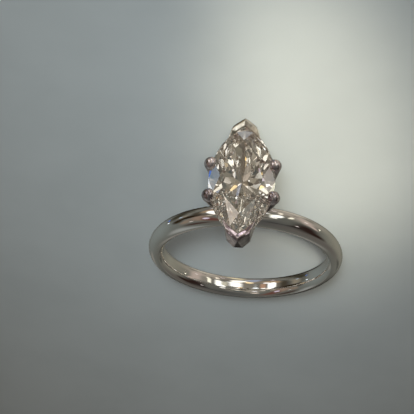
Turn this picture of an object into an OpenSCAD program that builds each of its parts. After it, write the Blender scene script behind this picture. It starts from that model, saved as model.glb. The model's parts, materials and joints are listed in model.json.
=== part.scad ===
// Solitaire ring: a comfort-fit shank and a six-prong head, soldered into one
// piece of white metal, that hold one marquise brilliant-cut stone.
// Millimetres. Each module is drawn as the ring is worn: the finger runs along Y
// and the stone is on top at +Z. lay_down() then rests the ring on its side.

/* [Shank] */
// Inside diameter of the shank, the ring's size
finger_d = 16.5; // [15:0.1:19]
// Width of the shank along the finger
band_w = 2.15; // [1.9:0.05:2.3]
// Thickness of the shank, from the finger outwards
band_t = 1.55; // [1.5:0.05:1.8]
// Width of the flat strip that touches the finger, inside the shank
inner_flat = 0.5; // [0.4:0.05:0.9]

/* [Stone] */
// Length of the stone, from point to point
stone_l = 11.5; // [10.7:0.1:12.5]
// Width of the stone at its belly
stone_w = 6; // [5.5:0.1:6.4]
// Height of the crown above the girdle
crown_h = 0.88; // [0.7:0.02:1]
// Thickness of the girdle where facets meet it
girdle_t = 0.2; // [0.18:0.01:0.3]
// Depth of the pavilion below the girdle
pavilion_h = 2.55; // [2.2:0.05:2.8]
// Size of the table against the whole outline
table_share = 0.64; // [0.56:0.01:0.7]

/* [Head] */
// Height of the stone's girdle above the middle of the finger hole
girdle_at = 15.8; // [15:0.1:16.4]
// Diameter of a side prong
prong_d = 1.2; // [1:0.05:1.2]
// Diameter of the bead that ends a side prong
bead_d = 1.26; // [1.22:0.02:1.4]
// Distance of the side prongs from the stone's middle, along its length
prong_y = 1.6; // [1.3:0.1:2.2]
// Thickness of the wall that a V-prong has outside the stone
v_wall = 0.36; // [0.3:0.02:0.5]
// Height of a V-prong's wall
v_height = 2.1; // [1.7:0.1:2.3]
// Clearance between the stone and its seat
seat_gap = 0.03; // [0.02:0.01:0.06]

/* [Hidden] */

// Shank
finger_r = finger_d / 2;
dome_r = band_w / 2;
band_r = finger_r + band_t;
dome_at = band_r - dome_r;

// Segments of the large rounds and of the small ones, and how far a cut runs past
ring_segments = 192;
round_segments = 96;
small_segments = 32;
cut_past = 1;

// Outline of the stone: two arcs of one radius that meet in the points
half_l = stone_l / 2;
half_w = stone_w / 2;

// Main facets of the stone, steps of the girdle along each girdle facet, and the
// points that they give on the girdle's rim
MAINS = 8;
STEPS = 3;
RIM_COUNT = MAINS * 2 * STEPS;

// Shares of the cut: how far the star facets reach down the crown, and the
// lower girdle facets down the pavilion
star_share = 0.5;
lower_share = 0.76;

// V-prongs: the height of the wall's top above the girdle, its outer chamfer, the
// lip over the stone, how far down and how far in the lip's top slopes, how far the
// edge of the point leans in towards its foot, how much lower the wall is at the end
// of its wings, and where the wings begin and stop
v_top = 0.72;
v_chamfer = 0.18;
v_lip = 0.24;
v_slope = 0.2;
v_slope_in = 0.38;
v_lean = 0.27;
v_rise = 0.8;
v_shoulder_x = 1.05;
v_shoulder_y = 0.84;
v_wing_x = 1.45;
v_wing_y = 2.04;

// Collar at the foot of the head, where it is soldered to the shank
collar_low_r = 1;
collar_top_r = 1.5;
collar_sink = 0.5;
collar_rise = 0.7;

// Feet of the prongs inside the collar, and the shafts of the V-prongs
foot_sink = 0.2;
foot_x = 0.55;
foot_y = 0.4;
v_foot_y = 0.45;
v_shaft_d = 1.05;
v_shaft_in = 0.8;
joint_extra = 0.02;

// Beads: how far outside the stone's edge and above its girdle they sit, and how far
// inwards from them the prongs are at the gallery
bead_out = 0.05;
bead_up = 0.06;
knee_in_x = 0.6;
knee_in_y = 0.36;

// Gallery: the rail that ties the prongs together below the stone
rail_drop = 2.1;
rail_h = 0.62;
rail_t = 0.6;
rail_out = 0.12;

// Radius of one arc of an outline that is 2a long and 2b wide
function arc_r(a, b) = (a * a + b * b) / (2 * b);

// Point of the outline at a share s of its way round, from the point at -Y
function outline(a, b, s) =
    let (
        r = arc_r(a, b),
        tip = asin(a / r),
        side = s < 0.5 ? 1 : -1,
        turn = -tip + 4 * tip * (side > 0 ? s : s - 0.5)
    )
    side * [r * cos(turn) - (r - b), r * sin(turn)];

// Direction in which main facet k faces, seen from above
function facing(a, b, k) =
    let (
        r = arc_r(a, b),
        m = (k + MAINS) % MAINS,
        centre = m < MAINS / 2 ? [b - r, 0] : [r - b, 0],
        p = outline(a, b, m / MAINS)
    )
    m % (MAINS / 2) == 0 ? [0, m == 0 ? -1 : 1] : (p - centre) / r;

// Point p for which p * u == d and p * v == e
function meet(u, d, v, e) =
    let (det = u[0] * v[1] - u[1] * v[0])
    [(d * v[1] - e * u[1]) / det, (e * u[0] - d * v[0]) / det];

// Height at the point p of the plane through the points q, r and s
function plane_z(p, q, r, s) =
    let (n = cross(r - q, s - q))
    q[2] - (n[0] * (p[0] - q[0]) + n[1] * (p[1] - q[1])) / n[2];

function lift(p, z) = [p[0], p[1], z];

// Side prong i of four: its signs along X and Y
function side_sign(i) = [i % 2 == 0 ? 1 : -1, i < 2 ? 1 : -1];

// Half the width of the stone's outline at a distance y from its middle
function outline_x(y) = sqrt(stone_r * stone_r - y * y) - (stone_r - half_w);

// Half the length of the stone's outline, once its two arcs have grown outwards by g
function tip_y(g) =
    sqrt((stone_r + g) * (stone_r + g) - (stone_r - half_w) * (stone_r - half_w));

// Angle of rest: the point of the lower V-prong and the far side of the shank
// touch the surface, so one line is tangent to both in the plane X = 0
stone_r = arc_r(half_l, half_w);
v_out = tip_y(v_wall);
v_high = girdle_at + v_top;
v_low = v_high - v_height;
v_foot_out = v_out - v_lean;
rest_span = norm([v_foot_out, v_low + dome_at]);
rest_tilt = acos(dome_r / rest_span) - atan2(v_low + dome_at, v_foot_out);
rest_lift = dome_at * sin(rest_tilt) + dome_r;

// Reach of the ring in front of and behind the finger hole, once it lies down
stone_top = girdle_at + girdle_t / 2 + crown_h;
rest_front = max(
    v_high * cos(rest_tilt) + tip_y(v_wall - v_chamfer) * sin(rest_tilt),
    (v_high - v_chamfer) * cos(rest_tilt) + v_out * sin(rest_tilt),
    stone_top * cos(rest_tilt) + table_share * half_l * sin(rest_tilt)
);
rest_back = dome_at * cos(rest_tilt) + dome_r;

// Point where the edges of main facets k and k + 1 would meet at the girdle
function corner(a, b, k) =
    let (
        n = (k + 1) % MAINS,
        u = facing(a, b, k),
        v = facing(a, b, n)
    )
    meet(u, outline(a, b, k / MAINS) * u, v, outline(a, b, n / MAINS) * v);

// Point j of the girdle's rim, on the plane of the facet with its tip in tips
function rim_point(rim, j, tips, z) =
    let (
        half = floor(j / STEPS),
        from = rim[half * STEPS],
        to = rim[((half + 1) * STEPS) % RIM_COUNT]
    )
    j % STEPS == 0
        ? lift(rim[j], z)
        : lift(rim[j], plane_z(rim[j], tips[floor(half / 2)], lift(from, z), lift(to, z)));

// Points of the stone in rings, from the table down: the table's corners, the tips
// of the star facets, both edges of the girdle, the tips of the lower girdle
// facets, and the culet
function stone_points(a, b, edge) =
    let (
        star_z = edge + crown_h * (1 - star_share),
        star_in = 1 - (1 - star_share) * (1 - table_share),
        pit_z = -edge - pavilion_h * lower_share,
        mains = [0:MAINS - 1],
        table = [for (k = mains) lift(table_share * outline(a, b, k / MAINS), edge + crown_h)],
        stars = [for (k = mains) lift(star_in * corner(a, b, k), star_z)],
        pits = [for (k = mains) lift((1 - lower_share) * corner(a, b, k), pit_z)],
        rim = [for (j = [0:RIM_COUNT - 1]) outline(a, b, j / RIM_COUNT)],
        upper = [for (j = [0:RIM_COUNT - 1]) rim_point(rim, j, stars, edge)],
        lower = [for (j = [0:RIM_COUNT - 1]) rim_point(rim, j, pits, -edge)]
    )
    concat(table, stars, upper, lower, pits, [[0, 0, -edge - pavilion_h]]);

// Place in stone_points of point k of each ring
function star_at(k) = MAINS + (k + MAINS) % MAINS;
function upper_at(j) = 2 * MAINS + j % RIM_COUNT;
function lower_at(j) = 2 * MAINS + RIM_COUNT + j % RIM_COUNT;
function pit_at(k) = 2 * MAINS + 2 * RIM_COUNT + (k + MAINS) % MAINS;

// Facets above the girdle: the table, stars, mains and upper girdle facets
function crown_faces() =
    let (mains = [0:MAINS - 1], per_main = 2 * STEPS)
    concat(
        [[for (k = [MAINS - 1:-1:0]) k]],
        [for (k = mains) [k, (k + 1) % MAINS, star_at(k)]],
        [for (k = mains) [k, star_at(k), upper_at(k * per_main), star_at(k - 1)]],
        [
            for (k = mains, h = [0, STEPS])
            concat([star_at(k)], [for (j = [STEPS:-1:0]) upper_at(k * per_main + h + j)])
        ]
    );

// The girdle, and below it the lower girdle facets and the mains
function lower_faces() =
    let (mains = [0:MAINS - 1], per_main = 2 * STEPS, culet = pit_at(0) + MAINS)
    concat(
        [
            for (j = [0:RIM_COUNT - 1])
            [upper_at(j), upper_at(j + 1), lower_at(j + 1), lower_at(j)]
        ],
        [
            for (k = mains, h = [0, STEPS])
            concat([pit_at(k)], [for (j = [0:STEPS]) lower_at(k * per_main + h + j)])
        ],
        [for (k = mains) [culet, pit_at(k - 1), lower_at(k * per_main), pit_at(k)]]
    );

// Marquise brilliant, with its girdle's middle at Z = 0, grown outwards by g
module marquise_brilliant(g = 0) {
    polyhedron(
        points = stone_points(half_l + g, half_w + g, (girdle_t + g) / 2),
        faces = concat(crown_faces(), lower_faces())
    );
}

// Round bar of diameter d from p to q
module bar(p, q, d) {
    run = q - p;
    translate(p)
        rotate([0, acos(run[2] / norm(run)), atan2(run[1], run[0])])
            cylinder(h = norm(run), d = d, $fn = small_segments);
}

// Two discs with their middles where the arcs of the outline have theirs; where
// they overlap, they have the outline of the stone grown by g, and by more or less
// above the height of the bend
module lens(g, low, bend, high, more) {
    r = stone_r + g;
    intersection_for (side = [-1, 1])
        translate([side * (stone_r - half_w), 0, 0])
            rotate_extrude($fn = round_segments)
                polygon([[0, low], [r, low], [r, bend], [r + more, high], [0, high]]);
}

// Shank with a half-round outside and a comfort-fit inside, which curves away from
// the finger on both sides of its flat strip
module shank() {
    rotate([90, 0, 0])
        rotate_extrude($fn = ring_segments)
            shank_section();
}

module shank_section() {
    side_h = dome_at - finger_r;
    side_w = dome_r - inner_flat / 2;
    side_r = arc_r(side_w, side_h);
    translate([dome_at, 0])
        intersection() {
            circle(r = dome_r, $fn = round_segments);
            translate([0, -band_w])
                square([band_w, 2 * band_w]);
        }
    translate([finger_r, 0])
        intersection() {
            translate([0, -dome_r])
                square([side_h, band_w]);
            union() {
                translate([0, -inner_flat / 2])
                    square([side_h, inner_flat]);
                for (side = [-1, 1])
                    translate([side_r, side * inner_flat / 2])
                        circle(r = side_r, $fn = round_segments);
            }
        }
}

module collar() {
    translate([0, 0, band_r - collar_sink])
        cylinder(
            h = collar_sink + collar_rise,
            r1 = collar_low_r,
            r2 = collar_top_r,
            $fn = round_segments
        );
}

// Side prong i: it flares from the collar to the gallery, and from there stands up
// more steeply to the bead over the stone's edge
module side_prong(i) {
    s = side_sign(i);
    bead_x = outline_x(prong_y) + bead_out;
    foot = [s[0] * foot_x, s[1] * foot_y, band_r - foot_sink];
    knee = [s[0] * (bead_x - knee_in_x), s[1] * (prong_y - knee_in_y), girdle_at - rail_drop];
    bead = [s[0] * bead_x, s[1] * prong_y, girdle_at + bead_up];
    bar(foot, knee, prong_d);
    bar(knee, bead, prong_d);
    translate(knee)
        sphere(d = prong_d + joint_extra, $fn = small_segments);
    translate(bead)
        sphere(d = bead_d, $fn = small_segments);
}

// Wall of a V-prong: the stone's outline grown outwards, clipped to the wings, with
// an edge that leans in towards the foot, and a lip that slopes down to the stone
module v_wall_block() {
    difference() {
        intersection() {
            lens(v_wall, v_low, v_high - v_chamfer, v_high, -v_chamfer);
            translate([0, 0, v_low])
                linear_extrude(v_height)
                    v_plan();
            rotate([90, 0, 90])
                linear_extrude(stone_w, center = true)
                    v_side();
        }
        lens(-v_lip, v_low - cut_past, v_high - v_slope, v_high + v_slope, 2 * v_slope_in);
    }
}

// Plan of a V-prong: the point, the shoulders, and wings that run out on the stone
module v_plan() {
    polygon([
        [-v_shoulder_x, v_out],
        [v_shoulder_x, v_out],
        [v_shoulder_x, v_out - v_shoulder_y],
        [v_wing_x, v_out - v_wing_y],
        [-v_wing_x, v_out - v_wing_y],
        [-v_shoulder_x, v_out - v_shoulder_y]
    ]);
}

// Side view of a V-prong, from the middle of the stone outwards
module v_side() {
    polygon([
        [0, v_low + v_rise],
        [v_out - v_wing_y, v_low + v_rise],
        [v_foot_out, v_low],
        [v_out, v_high - v_chamfer],
        [v_out, v_high],
        [0, v_high]
    ]);
}

module v_prong() {
    top = [0, v_out - v_shaft_in, v_low + v_shaft_d / 2];
    foot = [0, v_foot_y, band_r - foot_sink];
    v_wall_block();
    bar(foot, top, v_shaft_d);
    translate(top)
        sphere(d = v_shaft_d + joint_extra, $fn = small_segments);
}

// Rail that follows the prongs round, a small copy of the stone's outline
module gallery() {
    share = (girdle_at - rail_drop - band_r) / (girdle_at - band_r);
    rail_b = foot_x + (outline_x(prong_y) - foot_x) * share + rail_out;
    rail_a = v_foot_y + (v_out - v_shaft_in - v_foot_y) * share + rail_out;
    r = arc_r(rail_a, rail_b);
    translate([0, 0, girdle_at - rail_drop])
        linear_extrude(rail_h, center = true)
            difference() {
                intersection_for (side = [-1, 1])
                    translate([side * (r - rail_b), 0])
                        circle(r = r + rail_t / 2, $fn = round_segments);
                intersection_for (side = [-1, 1])
                    translate([side * (r - rail_b), 0])
                        circle(r = r - rail_t / 2, $fn = round_segments);
            }
}

module head() {
    collar();
    gallery();
    for (i = [0:3])
        side_prong(i);
    for (turn = [0, 180])
        rotate(turn)
            v_prong();
}

module lay_down() {
    translate([0, (rest_front - rest_back) / 2, rest_lift])
        rotate([90 - rest_tilt, 0, 0])
            children();
}

module shank_and_head() {
    color("silver")
        lay_down()
            difference() {
                union() {
                    shank();
                    head();
                }
                translate([0, 0, girdle_at])
                    marquise_brilliant(seat_gap);
            }
}

module marquise_stone() {
    color("antiquewhite")
        lay_down()
            translate([0, 0, girdle_at])
                marquise_brilliant();
}

shank_and_head();
marquise_stone();
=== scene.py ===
import json
import math

import bpy
from mathutils import Matrix, Vector

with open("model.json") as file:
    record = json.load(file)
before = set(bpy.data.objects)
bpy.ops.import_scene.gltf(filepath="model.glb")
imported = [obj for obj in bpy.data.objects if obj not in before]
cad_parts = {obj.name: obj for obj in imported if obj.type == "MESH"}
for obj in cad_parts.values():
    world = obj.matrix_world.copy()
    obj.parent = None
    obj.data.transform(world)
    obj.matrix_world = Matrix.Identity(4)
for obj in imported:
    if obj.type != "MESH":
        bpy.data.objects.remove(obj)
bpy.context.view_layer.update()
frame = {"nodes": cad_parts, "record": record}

MM = 0.001
IMAGE_SIDE = 414

METAL_NODE = "shank_and_head"
STONE_NODE = "marquise_stone"


# The ring as it is worn, read from the finger bore: where its middle is, and its axes
def ring_axes():
    bore = frame["record"]["mounts"][0]
    finger = Vector(bore["axis"]).normalized()
    across = Vector((-1, 0, 0))
    to_stone = across.cross(-finger).normalized()
    return Vector(bore["pos_m"]), across, finger, to_stone


RING_MIDDLE, ACROSS, FINGER, TO_STONE = ring_axes()


def ring_direction(across, along, up):
    """Direction in the row frame of a direction seen from the ring as it is worn."""
    return ACROSS * across - FINGER * along + TO_STONE * up


# Camera: where it stands round the ring in degrees, its distance, the scale of the
# picture, the pixel of the finger hole's middle, its sensor's width in mm, and how
# near and how far it sees
CAMERA_AZIMUTH = 9.67
CAMERA_ELEVATION = 63.19
CAMERA_ROLL = 6.12
CAMERA_DISTANCE = 120 * MM
PIXELS_PER_MM = 9.874
HOLE_X = 245.19
HOLE_Y = 254.11
SENSOR = 36
SEES_FROM = 0.05 * CAMERA_DISTANCE
SEES_TO = 100 * CAMERA_DISTANCE


def make_camera():
    azimuth, elevation, roll = map(
        math.radians, (CAMERA_AZIMUTH, CAMERA_ELEVATION, CAMERA_ROLL)
    )
    back = ring_direction(
        math.sin(azimuth) * math.cos(elevation),
        -math.cos(azimuth) * math.cos(elevation),
        math.sin(elevation),
    )
    level = ring_direction(math.cos(azimuth), math.sin(azimuth), 0)
    rise = back.cross(level)
    right = level * math.cos(roll) - rise * math.sin(roll)
    up = level * math.sin(roll) + rise * math.cos(roll)
    aside = (HOLE_X - IMAGE_SIDE / 2) / PIXELS_PER_MM * MM
    above = (IMAGE_SIDE / 2 - HOLE_Y) / PIXELS_PER_MM * MM
    place = RING_MIDDLE + back * CAMERA_DISTANCE - right * aside - up * above
    data = bpy.data.cameras.new("camera")
    data.sensor_width = SENSOR
    data.lens = SENSOR * PIXELS_PER_MM * CAMERA_DISTANCE / MM / IMAGE_SIDE
    data.clip_start = SEES_FROM
    data.clip_end = SEES_TO
    camera = bpy.data.objects.new("camera", data)
    turn = Matrix((right, up, back)).transposed()
    camera.matrix_world = Matrix.Translation(place) @ turn.to_4x4()
    bpy.context.scene.collection.objects.link(camera)
    bpy.context.scene.camera = camera
    return camera, right, up, back


camera, CAM_RIGHT, CAM_UP, CAM_BACK = make_camera()


def node(tree, kind, values=(), **settings):
    """New shader node, with values or links for its inputs and its other settings."""
    made = tree.nodes.new("ShaderNode" + kind)
    for name, value in settings.items():
        setattr(made, name, value)
    for socket, value in dict(values).items():
        if isinstance(value, bpy.types.NodeSocket):
            tree.links.new(value, made.inputs[socket])
        else:
            made.inputs[socket].default_value = value
    return made


# Noises: how much fine detail the soft, the middling and the fine ones have, and the
# part of a noise's range in which one tone passes into the other
SOFT = 1
MIDDLING = 2
FINE = 3
TONE_FROM = 0.35
TONE_TO = 0.65


def noise(tree, place, scale, detail):
    values = {"Vector": place, "Scale": scale, "Detail": detail}
    return node(tree, "TexNoise", values).outputs


def bump(tree, height, depth, **values):
    return node(tree, "Bump", {"Height": height, "Distance": depth, **values}).outputs[0]


def ramp(tree, value, start, end, **settings):
    """Rises from 0 to 1 while the value goes from start to end."""
    values = {"Value": value, "From Min": start, "From Max": end}
    return node(tree, "MapRange", values, **settings).outputs[0]


def mix_colours(tree, share, first, second, **settings):
    """Colour between two. The node's colour sockets have numbers, as names are shared."""
    values = {"Factor": share, 6: first, 7: second}
    return node(tree, "Mix", values, data_type="RGBA", **settings).outputs[2]


def tone(tree, place, scale, light, dark):
    """Colour that drifts between two tones."""
    drift = ramp(tree, noise(tree, place, scale, FINE)["Fac"], TONE_FROM, TONE_TO)
    return mix_colours(tree, drift, light, dark)


# Room: what stands round the ring is laid out as a chrome ball in the middle of the
# picture would show it, with its middle at (0, 0) and its rim at a distance of 1. A small
# step on the ball tells how a patch lies, and the metal shows this share of its light
BALL_STEP = 0.001
MIRROR = 0.84


def from_camera(x, y, z):
    """Direction in the row frame of a direction in the camera's axes."""
    return CAM_RIGHT * x + CAM_UP * y + CAM_BACK * z


def seen_on_ball(x, y):
    """Direction in the room of what such a ball shows at the place (x, y)."""
    facing = from_camera(x, y, math.sqrt(1 - x * x - y * y))
    return facing * (2 * facing.dot(CAM_BACK)) - CAM_BACK


def linear(colour):
    """Light of the room, by the sRGB curve, for a colour from 0 to 255 in the metal."""
    parts = [c / 255 for c in colour]
    return [
        (p / 12.92 if p < 0.04045 else ((p + 0.055) / 1.055) ** 2.4) / MIRROR for p in parts
    ]


# Each patch of the room has a place on the ball, a half length and a half width in
# degrees, the turn of its length against the picture's level, the softness of its edge,
# its colour as it looks in the metal, and its strength. Later ones lie over earlier ones
ROOM = [
    ("left side", -0.88, 0.05, 50, 34, 90, 0.8, (114, 120, 117), 1),
    ("right side", 0.90, 0.05, 46, 28, 90, 0.8, (124, 122, 110), 1),
    ("upper left", -0.55, 0.65, 34, 18, 50, 0.7, (108, 106, 98), 1),
    ("upper right", 0.50, 0.62, 40, 24, 110, 0.7, (156, 148, 136), 1),
    ("grey corner right", 0.64, 0.60, 12, 5, 110, 0.7, (116, 112, 102), 1),
    ("ceiling", 0.00, 0.60, 26, 20, 90, 0.7, (132, 124, 112), 1),
    ("front", 0.10, -0.38, 40, 24, 90, 0.8, (74, 74, 72), 1),
    ("lower right", 0.35, -0.60, 34, 16, -30, 0.7, (88, 84, 79), 1),
    ("middle", -0.02, 0.14, 26, 22, 90, 0.8, (150, 143, 130), 1),
    ("pale floor left", -0.39, -0.63, 16, 8, -42, 0.7, (142, 144, 141), 1),
    ("floor left", -0.64, -0.71, 8, 5, 45, 0.6, (124, 122, 115), 1),
    ("dark plinth", 0.58, -0.72, 8, 5, -50, 0.6, (74, 74, 68), 1),
    ("pale floor edge", -0.04, -0.855, 18, 5, 0, 0.6, (128, 126, 120), 1),
    ("dark floor behind", 0.11, -0.965, 18, 12, 0, 0.6, (44, 43, 40), 1),
    ("brown wall left", -0.46, 0.02, 26, 11, 105, 0.7, (132, 114, 100), 1),
    ("beige wall left", -0.58, -0.09, 14, 6, 100, 0.7, (124, 111, 98), 1),
    ("dark curtain left", -0.50, 0.42, 15, 5, 95, 0.7, (68, 62, 52), 1),
    ("red chair left", -0.33, -0.20, 24, 7, -62, 0.6, (92, 60, 52), 1),
    ("dark red foot", -0.39, -0.41, 12, 6.5, -20, 0.7, (60, 43, 38), 1),
    ("dark door left", -0.59, 0.27, 11, 9, 35, 0.6, (42, 32, 22), 1),
    ("dark frame left", -0.65, 0.58, 24, 10, 62, 0.7, (54, 52, 42), 1),
    ("dark skirting left", -0.69, 0.10, 12, 7, 100, 0.6, (46, 36, 25), 1),
    ("pale frame left", -0.64, 0.38, 7, 5, 20, 0.6, (132, 124, 108), 1),
    ("dark rail left", -0.58, 0.22, 20, 5, 23, 0.6, (32, 22, 10), 1),
    ("dark corner left", -0.38, 0.87, 18, 8, 30, 0.6, (58, 54, 46), 1),
    ("dark eave left", -0.35, 0.92, 15, 11, 35, 0.5, (34, 31, 24), 1),
    ("pale shelf left", -0.30, 0.73, 6, 5, 90, 0.6, (104, 92, 94), 1),
    ("pink wall right", 0.62, 0.34, 20, 8, 90, 0.6, (172, 158, 148), 1),
    ("pink wall low", 0.66, 0.12, 9, 5, 100, 0.6, (178, 162, 152), 1),
    ("pale cornice right", 0.47, 0.80, 12, 7, 60, 0.6, (184, 178, 164), 1),
    ("pale beam", 0.29, 0.69, 6, 5, 90, 0.6, (124, 110, 108), 1),
    ("brown cupboard right", 0.50, -0.20, 26, 15, 70, 0.7, (40, 28, 24), 1),
    ("brown cupboard low", 0.52, -0.37, 13, 10, -35, 0.6, (40, 28, 23), 1),
    ("dark cupboard foot", 0.38, -0.27, 13, 6, 30, 0.7, (40, 34, 31), 1),
    ("dark step", 0.17, -0.32, 9, 3, 0, 0.7, (52, 50, 46), 1),
    ("lilac lamp", -0.39, -0.08, 7, 3.5, -70, 0.4, (200, 190, 205), 1.1),
    ("blue lamp", -0.77, 0.43, 1.5, 1.3, 0, 0.4, (20, 125, 255), 1.7),
    ("side lamp left", -0.79, 0.25, 1.5, 1.3, 0, 0.4, (235, 245, 255), 2.8),
    ("pale panel left", -0.37, 0.15, 5, 4, 90, 0.5, (176, 166, 150), 1),
    ("pale strip", -0.175, 0.00, 20, 2, 90, 0.5, (140, 134, 126), 1),
    ("dark middle", 0.02, -0.04, 10, 7, 20, 0.5, (44, 58, 64), 1),
    ("dark middle above", 0.00, 0.15, 4.5, 3.5, 0, 0.4, (48, 46, 46), 1),
    ("dark middle right", 0.15, 0.05, 4, 3.5, 0, 0.4, (44, 44, 46), 1),
    ("pale middle", 0.05, 0.05, 3.5, 3.5, 0, 0.4, (206, 198, 186), 1),
    ("pale door", -0.15, 0.05, 3.5, 3.5, 0, 0.4, (240, 238, 240), 1.1),
    ("dark gap", -0.05, 0.36, 3.5, 3, 90, 0.4, (52, 48, 44), 1),
    ("pale door low", -0.15, -0.15, 5, 4, 0, 0.5, (226, 210, 196), 1.1),
    ("low lamp right", 0.41, -0.18, 2.5, 2, 60, 0.4, (232, 220, 216), 1),
    ("low lamp left", -0.51, -0.16, 2.5, 2, 0, 0.4, (224, 214, 208), 1),
    ("blue pane", -0.07, 0.75, 22, 5, 90, 0.6, (150, 158, 176), 1),
    ("tip lamp", 0.01, 0.785, 2.5, 2, 0, 0.4, (222, 232, 240), 1),
    ("middle window", 0.10, 0.60, 16, 8.5, 108, 0.3, (255, 250, 238), 1.3),
    ("lower pane", 0.13, 0.43, 10, 4.5, 5, 0.4, (250, 250, 246), 1.5),
    ("right shutter", 0.25, 0.37, 5, 4, 0, 0.5, (205, 200, 180), 1),
    ("amber lamp", 0.04, 0.35, 4, 3, 0, 0.4, (245, 205, 130), 1.6),
    ("golden lamp", -0.05, 0.55, 5, 4.5, 0, 0.4, (255, 228, 175), 1.5),
    ("cream edge", 0.15, 0.87, 16, 4, 60, 0.6, (225, 214, 180), 1),
    ("golden reveal", -0.33, 0.55, 14, 10, 60, 0.6, (165, 140, 110), 1),
    ("orange wall", -0.24, 0.41, 5, 4, 90, 0.5, (166, 134, 110), 1),
    ("left window", -0.35, 0.40, 16, 5.5, -85, 0.25, (255, 255, 250), 1.3),
    ("left window's foot", -0.31, 0.25, 6, 4, -60, 0.4, (255, 240, 225), 1.6),
    ("right window", 0.295, 0.285, 16, 6.5, 62, 0.25, (255, 255, 246), 1.4),
    ("right pane", 0.45, 0.36, 10, 2.5, 65, 0.3, (245, 240, 220), 1.2),
    ("left lamp", -0.25, 0.33, 4, 3.5, 90, 0.3, (250, 246, 236), 1.4),
    ("low left lamp", -0.25, 0.15, 4, 3.5, 90, 0.4, (214, 204, 192), 1),
    ("upper left lamp", -0.27, 0.51, 6, 4, 80, 0.4, (250, 244, 240), 1.15),
    ("inner left lamp", -0.15, 0.37, 5, 4.5, 90, 0.3, (246, 252, 255), 1.6),
    ("inner right lamp", 0.06, 0.25, 5.5, 4.5, 90, 0.3, (255, 250, 240), 1.7),
    ("lip lamp", 0.24, 0.11, 4.5, 4, 20, 0.3, (255, 252, 244), 1.15),
    ("lip lamp left", 0.30, 0.695, 2, 2, 0, 0.4, (250, 240, 236), 1.4),
    ("lip lamp right", -0.29, 0.735, 2, 2, 0, 0.4, (250, 238, 242), 1.2),
    ("side lamp right", 0.74, 0.18, 1.5, 1.3, 0, 0.4, (255, 250, 225), 3.2),
    ("grey shade", -0.03, 0.46, 2.9, 2.9, 0, 0.3, (112, 106, 92), 1),
    ("belly lamp right", 0.61, 0.33, 2.5, 2.2, 0, 0.4, (230, 222, 214), 1.2),
    ("belly lamp left", -0.66, 0.39, 2.5, 2.2, 0, 0.4, (190, 215, 240), 1),
    ("shade far left", -0.50, 0.66, 2.9, 2.5, 0, 0.4, (50, 44, 36), 1),
    ("shade far right", 0.51, 0.60, 2.9, 2.5, 0, 0.4, (84, 78, 66), 1),
    ("shade left", -0.46, 0.54, 2.5, 2.2, 0, 0.4, (46, 40, 34), 1),
    ("shade right", 0.43, 0.49, 2.5, 2.2, 0, 0.4, (80, 72, 64), 1),
    ("shade near left", -0.48, 0.33, 2.5, 2.2, 0, 0.4, (60, 56, 50), 1),
    ("small lamp 1", 0.36, 0.60, 4, 2.5, 90, 0.3, (250, 240, 220), 1.2),
    ("small lamp 2", 0.36, 0.52, 4, 2.5, 90, 0.3, (250, 240, 220), 1.2),
]
ROOM_COLOUR = (92, 92, 86)
# How far the patches' edges waver, and the scale of that. A patch shorter than the last
# number doesn't, so that the facet of the stone that it is placed for shows it
EDGE_WOBBLE = 0.05
WOBBLE_SCALE = 3.5
STEADY_BELOW = 3


def wide(degrees):
    """Half size, among directions of length 1, of a patch with this half size."""
    return math.sin(math.radians(min(degrees, 90)))


def wobble(tree, direction):
    """Direction with a slow noise in it, which makes the edges of large patches waver."""
    off = noise(tree, direction, WOBBLE_SCALE, MIDDLING)["Color"]
    centred = node(
        tree, "VectorMath", {0: direction, 1: (EDGE_WOBBLE / 2,) * 3}, operation="SUBTRACT"
    )
    moved = node(
        tree,
        "VectorMath",
        {0: off, 1: (EDGE_WOBBLE,) * 3, 2: centred.outputs[0]},
        operation="MULTIPLY_ADD",
    )
    return moved.outputs[0]


def add_patch(tree, steady, wobbled, before, patch):
    """Adds one soft oval patch of the room over the colour that lies behind it."""
    name, x, y, length, width, turn, soft, colour, strength = patch
    middle = seen_on_ball(x, y)
    turned = math.radians(turn)
    beside = seen_on_ball(x + BALL_STEP * math.cos(turned), y + BALL_STEP * math.sin(turned))
    along = (beside - middle - middle * (beside - middle).dot(middle)).normalized()
    axes = Matrix((along, middle.cross(along), middle)).transposed()
    place = node(
        tree,
        "Mapping",
        {
            "Vector": steady if length < STEADY_BELOW else wobbled,
            "Location": middle,
            "Rotation": axes.to_euler(),
            "Scale": (wide(length), wide(width), wide(length)),
        },
        vector_type="TEXTURE",
    )
    away = node(tree, "VectorMath", {0: place.outputs[0]}, operation="LENGTH")
    share = ramp(
        tree, away.outputs["Value"], 1 + soft, 1 - soft, interpolation_type="SMOOTHSTEP"
    )
    shown = (*(c * strength for c in linear(colour)), 1)
    return mix_colours(tree, share, before, shown, label=name)


def make_room():
    world = bpy.data.worlds.new("room")
    bpy.context.scene.world = world
    world.use_nodes = True
    tree = world.node_tree
    direction = node(tree, "TexCoord").outputs["Generated"]
    wobbled = wobble(tree, direction)
    colour = (*linear(ROOM_COLOUR), 1)
    for patch in ROOM:
        colour = add_patch(tree, direction, wobbled, colour, patch)
    tree.links.new(colour, tree.nodes["Background"].inputs["Color"])


def new_material(name):
    material = bpy.data.materials.new(name)
    material.use_nodes = True
    tree = material.node_tree
    return material, tree, tree.nodes["Principled BSDF"]


def ring_place(tree):
    """Place on the ring as it is worn: across, against the finger, towards the stone."""
    where = node(tree, "TexCoord").outputs["Object"]
    axes = Matrix((ACROSS, -FINGER, TO_STONE)).transposed()
    place = node(
        tree,
        "Mapping",
        {"Vector": where, "Location": RING_MIDDLE, "Rotation": axes.to_euler()},
        vector_type="TEXTURE",
    )
    return place.outputs[0]


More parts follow.
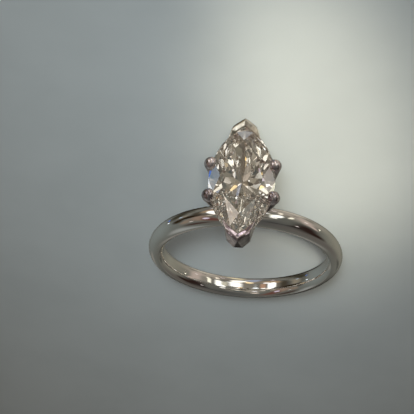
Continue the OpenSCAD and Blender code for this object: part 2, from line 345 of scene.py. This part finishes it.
# White gold: tones of the polished metal, of the painted shade in the head (a darker lilac
# tint that stands in for the dark reflections and shade round the stone) and of the paler
# painted shade on the far V-prong; where the painted shade begins and is full above the
# finger hole's middle, and where the far V-prong's begins and is full beside it; how round
# the edges are polished, and in how many samples; the scales and depths of the noises; and
# the part of the hairlines' range in which the roughness goes from its least to its most
GOLD_LIGHT = (0.86, 0.85, 0.83, 1)
GOLD_DARK = (0.79, 0.77, 0.745, 1)
# Painted shade: the head's metal darker and tinted lilac, standing in for the reflections
# and shade round the stone
HEAD_SHADE_LIGHT = (0.92, 0.84, 0.87, 1)
HEAD_SHADE_DARK = (0.34, 0.29, 0.315, 1)
# Painted shade on the far V-prong, paler and yellower than on the rest of the head
FAR_PRONG_SHADE_LIGHT = (0.85, 0.83, 0.77, 1)
FAR_PRONG_SHADE_DARK = (0.52, 0.49, 0.42, 1)
HEAD_SHADE_FROM = 12.2 * MM
HEAD_SHADE_FULL = 14.6 * MM
FAR_PRONG_SHADE_FROM = 3.2 * MM
FAR_PRONG_SHADE_FULL = 4.4 * MM
EDGE_RADIUS = 0.14 * MM
EDGE_SAMPLES = 8
TONE_SCALE = 260
HEAD_SHADE_SCALE = 1500
HAIRLINES_ACROSS = 9000
HAIRLINES_ALONG = 250
HAIRLINE_DEPTH = 0.0003 * MM
WAVE_SCALE = 420
WAVE_DEPTH = 0.006 * MM
DENT_SCALE = 1400
DENT_DEPTH = 0.018 * MM
ROUGH_LEAST = 0.03
ROUGH_MOST = 0.09
ROUGH_FROM = 0.3
ROUGH_TO = 0.7


def hairlines(tree, place):
    """Noise in fine lines that run round the shank, as polishing leaves them."""
    across, along, up = node(tree, "SeparateXYZ", {0: place}).outputs
    flat = node(tree, "CombineXYZ", {0: across, 1: up})
    radius = node(tree, "VectorMath", {0: flat.outputs[0]}, operation="LENGTH")
    section = node(tree, "CombineXYZ", {0: radius.outputs["Value"], 1: along})
    slow = node(
        tree,
        "VectorMath",
        {0: place, "Scale": HAIRLINES_ALONG / HAIRLINES_ACROSS},
        operation="SCALE",
    )
    both = node(tree, "VectorMath", {0: section.outputs[0], 1: slow.outputs[0]})
    return noise(tree, both.outputs[0], HAIRLINES_ACROSS, FINE)["Fac"]


def metal_colour(tree, place, along, head_shade_share):
    """Colour of the polished metal, with a painted shade (darker tint for reflections and
    shade) over the head.
    """
    gold = tone(tree, place, TONE_SCALE, GOLD_LIGHT, GOLD_DARK)
    # Painted shade and reflection tint over the head, paler on the far V-prong
    near_shade = tone(tree, place, HEAD_SHADE_SCALE, HEAD_SHADE_LIGHT, HEAD_SHADE_DARK)
    far_shade = tone(tree, place, HEAD_SHADE_SCALE, FAR_PRONG_SHADE_LIGHT, FAR_PRONG_SHADE_DARK)
    far = ramp(tree, along, FAR_PRONG_SHADE_FROM, FAR_PRONG_SHADE_FULL)
    head_shade = mix_colours(tree, far, near_shade, far_shade)
    return mix_colours(tree, head_shade_share, gold, head_shade)


def metal_normal(tree, place, lines, head_shade_share):
    """Rounded edges, slow waves, dents where the head's painted shade is, and hairlines over
    them.
    """
    edges = node(tree, "Bevel", {"Radius": EDGE_RADIUS}, samples=EDGE_SAMPLES).outputs[0]
    waves = noise(tree, place, WAVE_SCALE, SOFT)["Fac"]
    wavy = bump(tree, waves, WAVE_DEPTH, Normal=edges)
    dents = noise(tree, place, DENT_SCALE, SOFT)["Fac"]
    dented = bump(tree, dents, DENT_DEPTH, Strength=head_shade_share, Normal=wavy)
    return bump(tree, lines, HAIRLINE_DEPTH, Normal=dented)


def metal_material():
    material, tree, shader = new_material("polished_white_gold")
    place = ring_place(tree)
    along, up = node(tree, "SeparateXYZ", {0: place}).outputs[1:]
    # Share of the head's painted shade: it begins and is full above the finger hole's middle
    head_shade_share = ramp(tree, up, HEAD_SHADE_FROM, HEAD_SHADE_FULL, interpolation_type="SMOOTHSTEP")
    colour = metal_colour(tree, place, along, head_shade_share)
    lines = hairlines(tree, place)
    rough = node(
        tree,
        "MapRange",
        {
            "Value": lines,
            "From Min": ROUGH_FROM,
            "From Max": ROUGH_TO,
            "To Min": ROUGH_LEAST,
            "To Max": ROUGH_MOST,
        },
    )
    normal = metal_normal(tree, place, lines, head_shade_share)
    tree.links.new(colour, shader.inputs["Base Color"])
    tree.links.new(rough.outputs[0], shader.inputs["Roughness"])
    tree.links.new(normal, shader.inputs["Normal"])
    shader.inputs["Metallic"].default_value = 1
    return material


# Diamond: two tones of its faint champagne colour, how fast they drift, and its index
# of refraction
STONE_LIGHT = (1.0, 0.965, 0.905, 1)
STONE_DARK = (0.97, 0.915, 0.835, 1)
STONE_SCALE = 350
STONE_INDEX = 2.418


def stone_material():
    material, tree, shader = new_material("diamond")
    where = node(tree, "TexCoord").outputs["Object"]
    colour = tone(tree, where, STONE_SCALE, STONE_LIGHT, STONE_DARK)
    tree.links.new(colour, shader.inputs["Base Color"])
    shader.inputs["Roughness"].default_value = 0
    shader.inputs["IOR"].default_value = STONE_INDEX
    shader.inputs["Transmission Weight"].default_value = 1
    return material


# Floor: two tones of its pale grey and how fast they drift, its grain and how deep that
# is, its roughness, and half its side in metres
FLOOR_LIGHT = (0.61, 0.645, 0.655, 1)
FLOOR_DARK = (0.57, 0.605, 0.615, 1)
FLOOR_SCALE = 90
GRAIN_SCALE = 5000
GRAIN_DEPTH = 0.004 * MM
FLOOR_ROUGHNESS = 0.5
FLOOR_HALF = 3.0


def floor_material():
    material, tree, shader = new_material("plain_pale_floor")
    where = node(tree, "TexCoord").outputs["Object"]
    colour = tone(tree, where, FLOOR_SCALE, FLOOR_LIGHT, FLOOR_DARK)
    grain = noise(tree, where, GRAIN_SCALE, MIDDLING)["Fac"]
    tree.links.new(colour, shader.inputs["Base Color"])
    tree.links.new(bump(tree, grain, GRAIN_DEPTH), shader.inputs["Normal"])
    shader.inputs["Roughness"].default_value = FLOOR_ROUGHNESS
    return material


def make_floor():
    corners = [(-1, -1), (1, -1), (1, 1), (-1, 1)]
    mesh = bpy.data.meshes.new("floor")
    mesh.from_pydata(
        [(x * FLOOR_HALF, y * FLOOR_HALF, 0) for x, y in corners],
        [],
        [(0, 1, 2, 3)],
    )
    floor = bpy.data.objects.new("floor", mesh)
    bpy.context.scene.collection.objects.link(floor)
    mesh.materials.append(floor_material())
    floor.visible_glossy = False
    floor.visible_transmission = False


# Lights on the floor, with angles in degrees. Each has a turn from the camera's side of
# the floor towards the picture's right and an elevation; a distance, a length and a
# width in mm, and the turn of its length against the picture's level; its power in
# watts, its spread and its colour; and the pixel of what it lights
FLOOR_UP = Vector((0, 0, 1))
NEAR = (CAM_BACK - FLOOR_UP * CAM_BACK.z).normalized()
SIDE = (CAM_RIGHT - FLOOR_UP * CAM_RIGHT.z).normalized()
LIGHTS = [
    ("key", -8, 30, 170, 60, 60, 0, 0.0070, 25, (0.89, 1.0, 1.04), 200, 96),
    ("glow", 0, 38, 60, 27, 16, -56, 0.00118, 16, (1.0, 0.93, 0.74), 320, 140),
    ("hole", 0, 38, 60, 16, 8, 0, 0.00007, 12, (0.95, 1.0, 1.0), 245, 255),
]


def on_floor(x, y):
    """Place on the floor that the picture shows at the pixel (x, y)."""
    start = camera.matrix_world.translation
    focal = PIXELS_PER_MM * CAMERA_DISTANCE / MM
    ray = from_camera((x - IMAGE_SIDE / 2) / focal, (IMAGE_SIDE / 2 - y) / focal, -1)
    return start - ray * (start.z / ray.z)


def make_light(name, turn, elevation, distance, length, width, roll, *rest):
    watts, spread, colour, x, y = rest
    turned, raised, rolled = map(math.radians, (turn, elevation, roll))
    level = NEAR * math.cos(turned) + SIDE * math.sin(turned)
    back = level * math.cos(raised) + FLOOR_UP * math.sin(raised)
    flat = CAM_RIGHT * math.cos(rolled) + CAM_UP * math.sin(rolled)
    along = (flat - back * flat.dot(back)).normalized()
    data = bpy.data.lights.new(name, "AREA")
    data.shape = "ELLIPSE"
    data.size = length * MM
    data.size_y = width * MM
    data.energy = watts
    data.spread = math.radians(spread)
    data.color = colour
    light = bpy.data.objects.new(name, data)
    bpy.context.scene.collection.objects.link(light)
    axes = Matrix((along, back.cross(along), back)).transposed()
    place = on_floor(x, y) + back * (distance * MM)
    light.matrix_world = Matrix.Translation(place) @ axes.to_4x4()
    light.visible_camera = False
    light.visible_glossy = False
    light.visible_transmission = False


make_room()
make_floor()
for light in LIGHTS:
    make_light(*light)

metal = frame["nodes"][METAL_NODE]
stone = frame["nodes"][STONE_NODE]
metal.data.materials[0] = metal_material()
stone.data.materials[0] = stone_material()

# How many times light may turn, which counts most inside the stone
BOUNCES = 96
TRANSPARENT_BOUNCES = 16

scene = bpy.context.scene
scene.cycles.max_bounces = BOUNCES
scene.cycles.transmission_bounces = BOUNCES
scene.cycles.glossy_bounces = BOUNCES
scene.cycles.transparent_max_bounces = TRANSPARENT_BOUNCES
scene.view_settings.view_transform = "Standard"
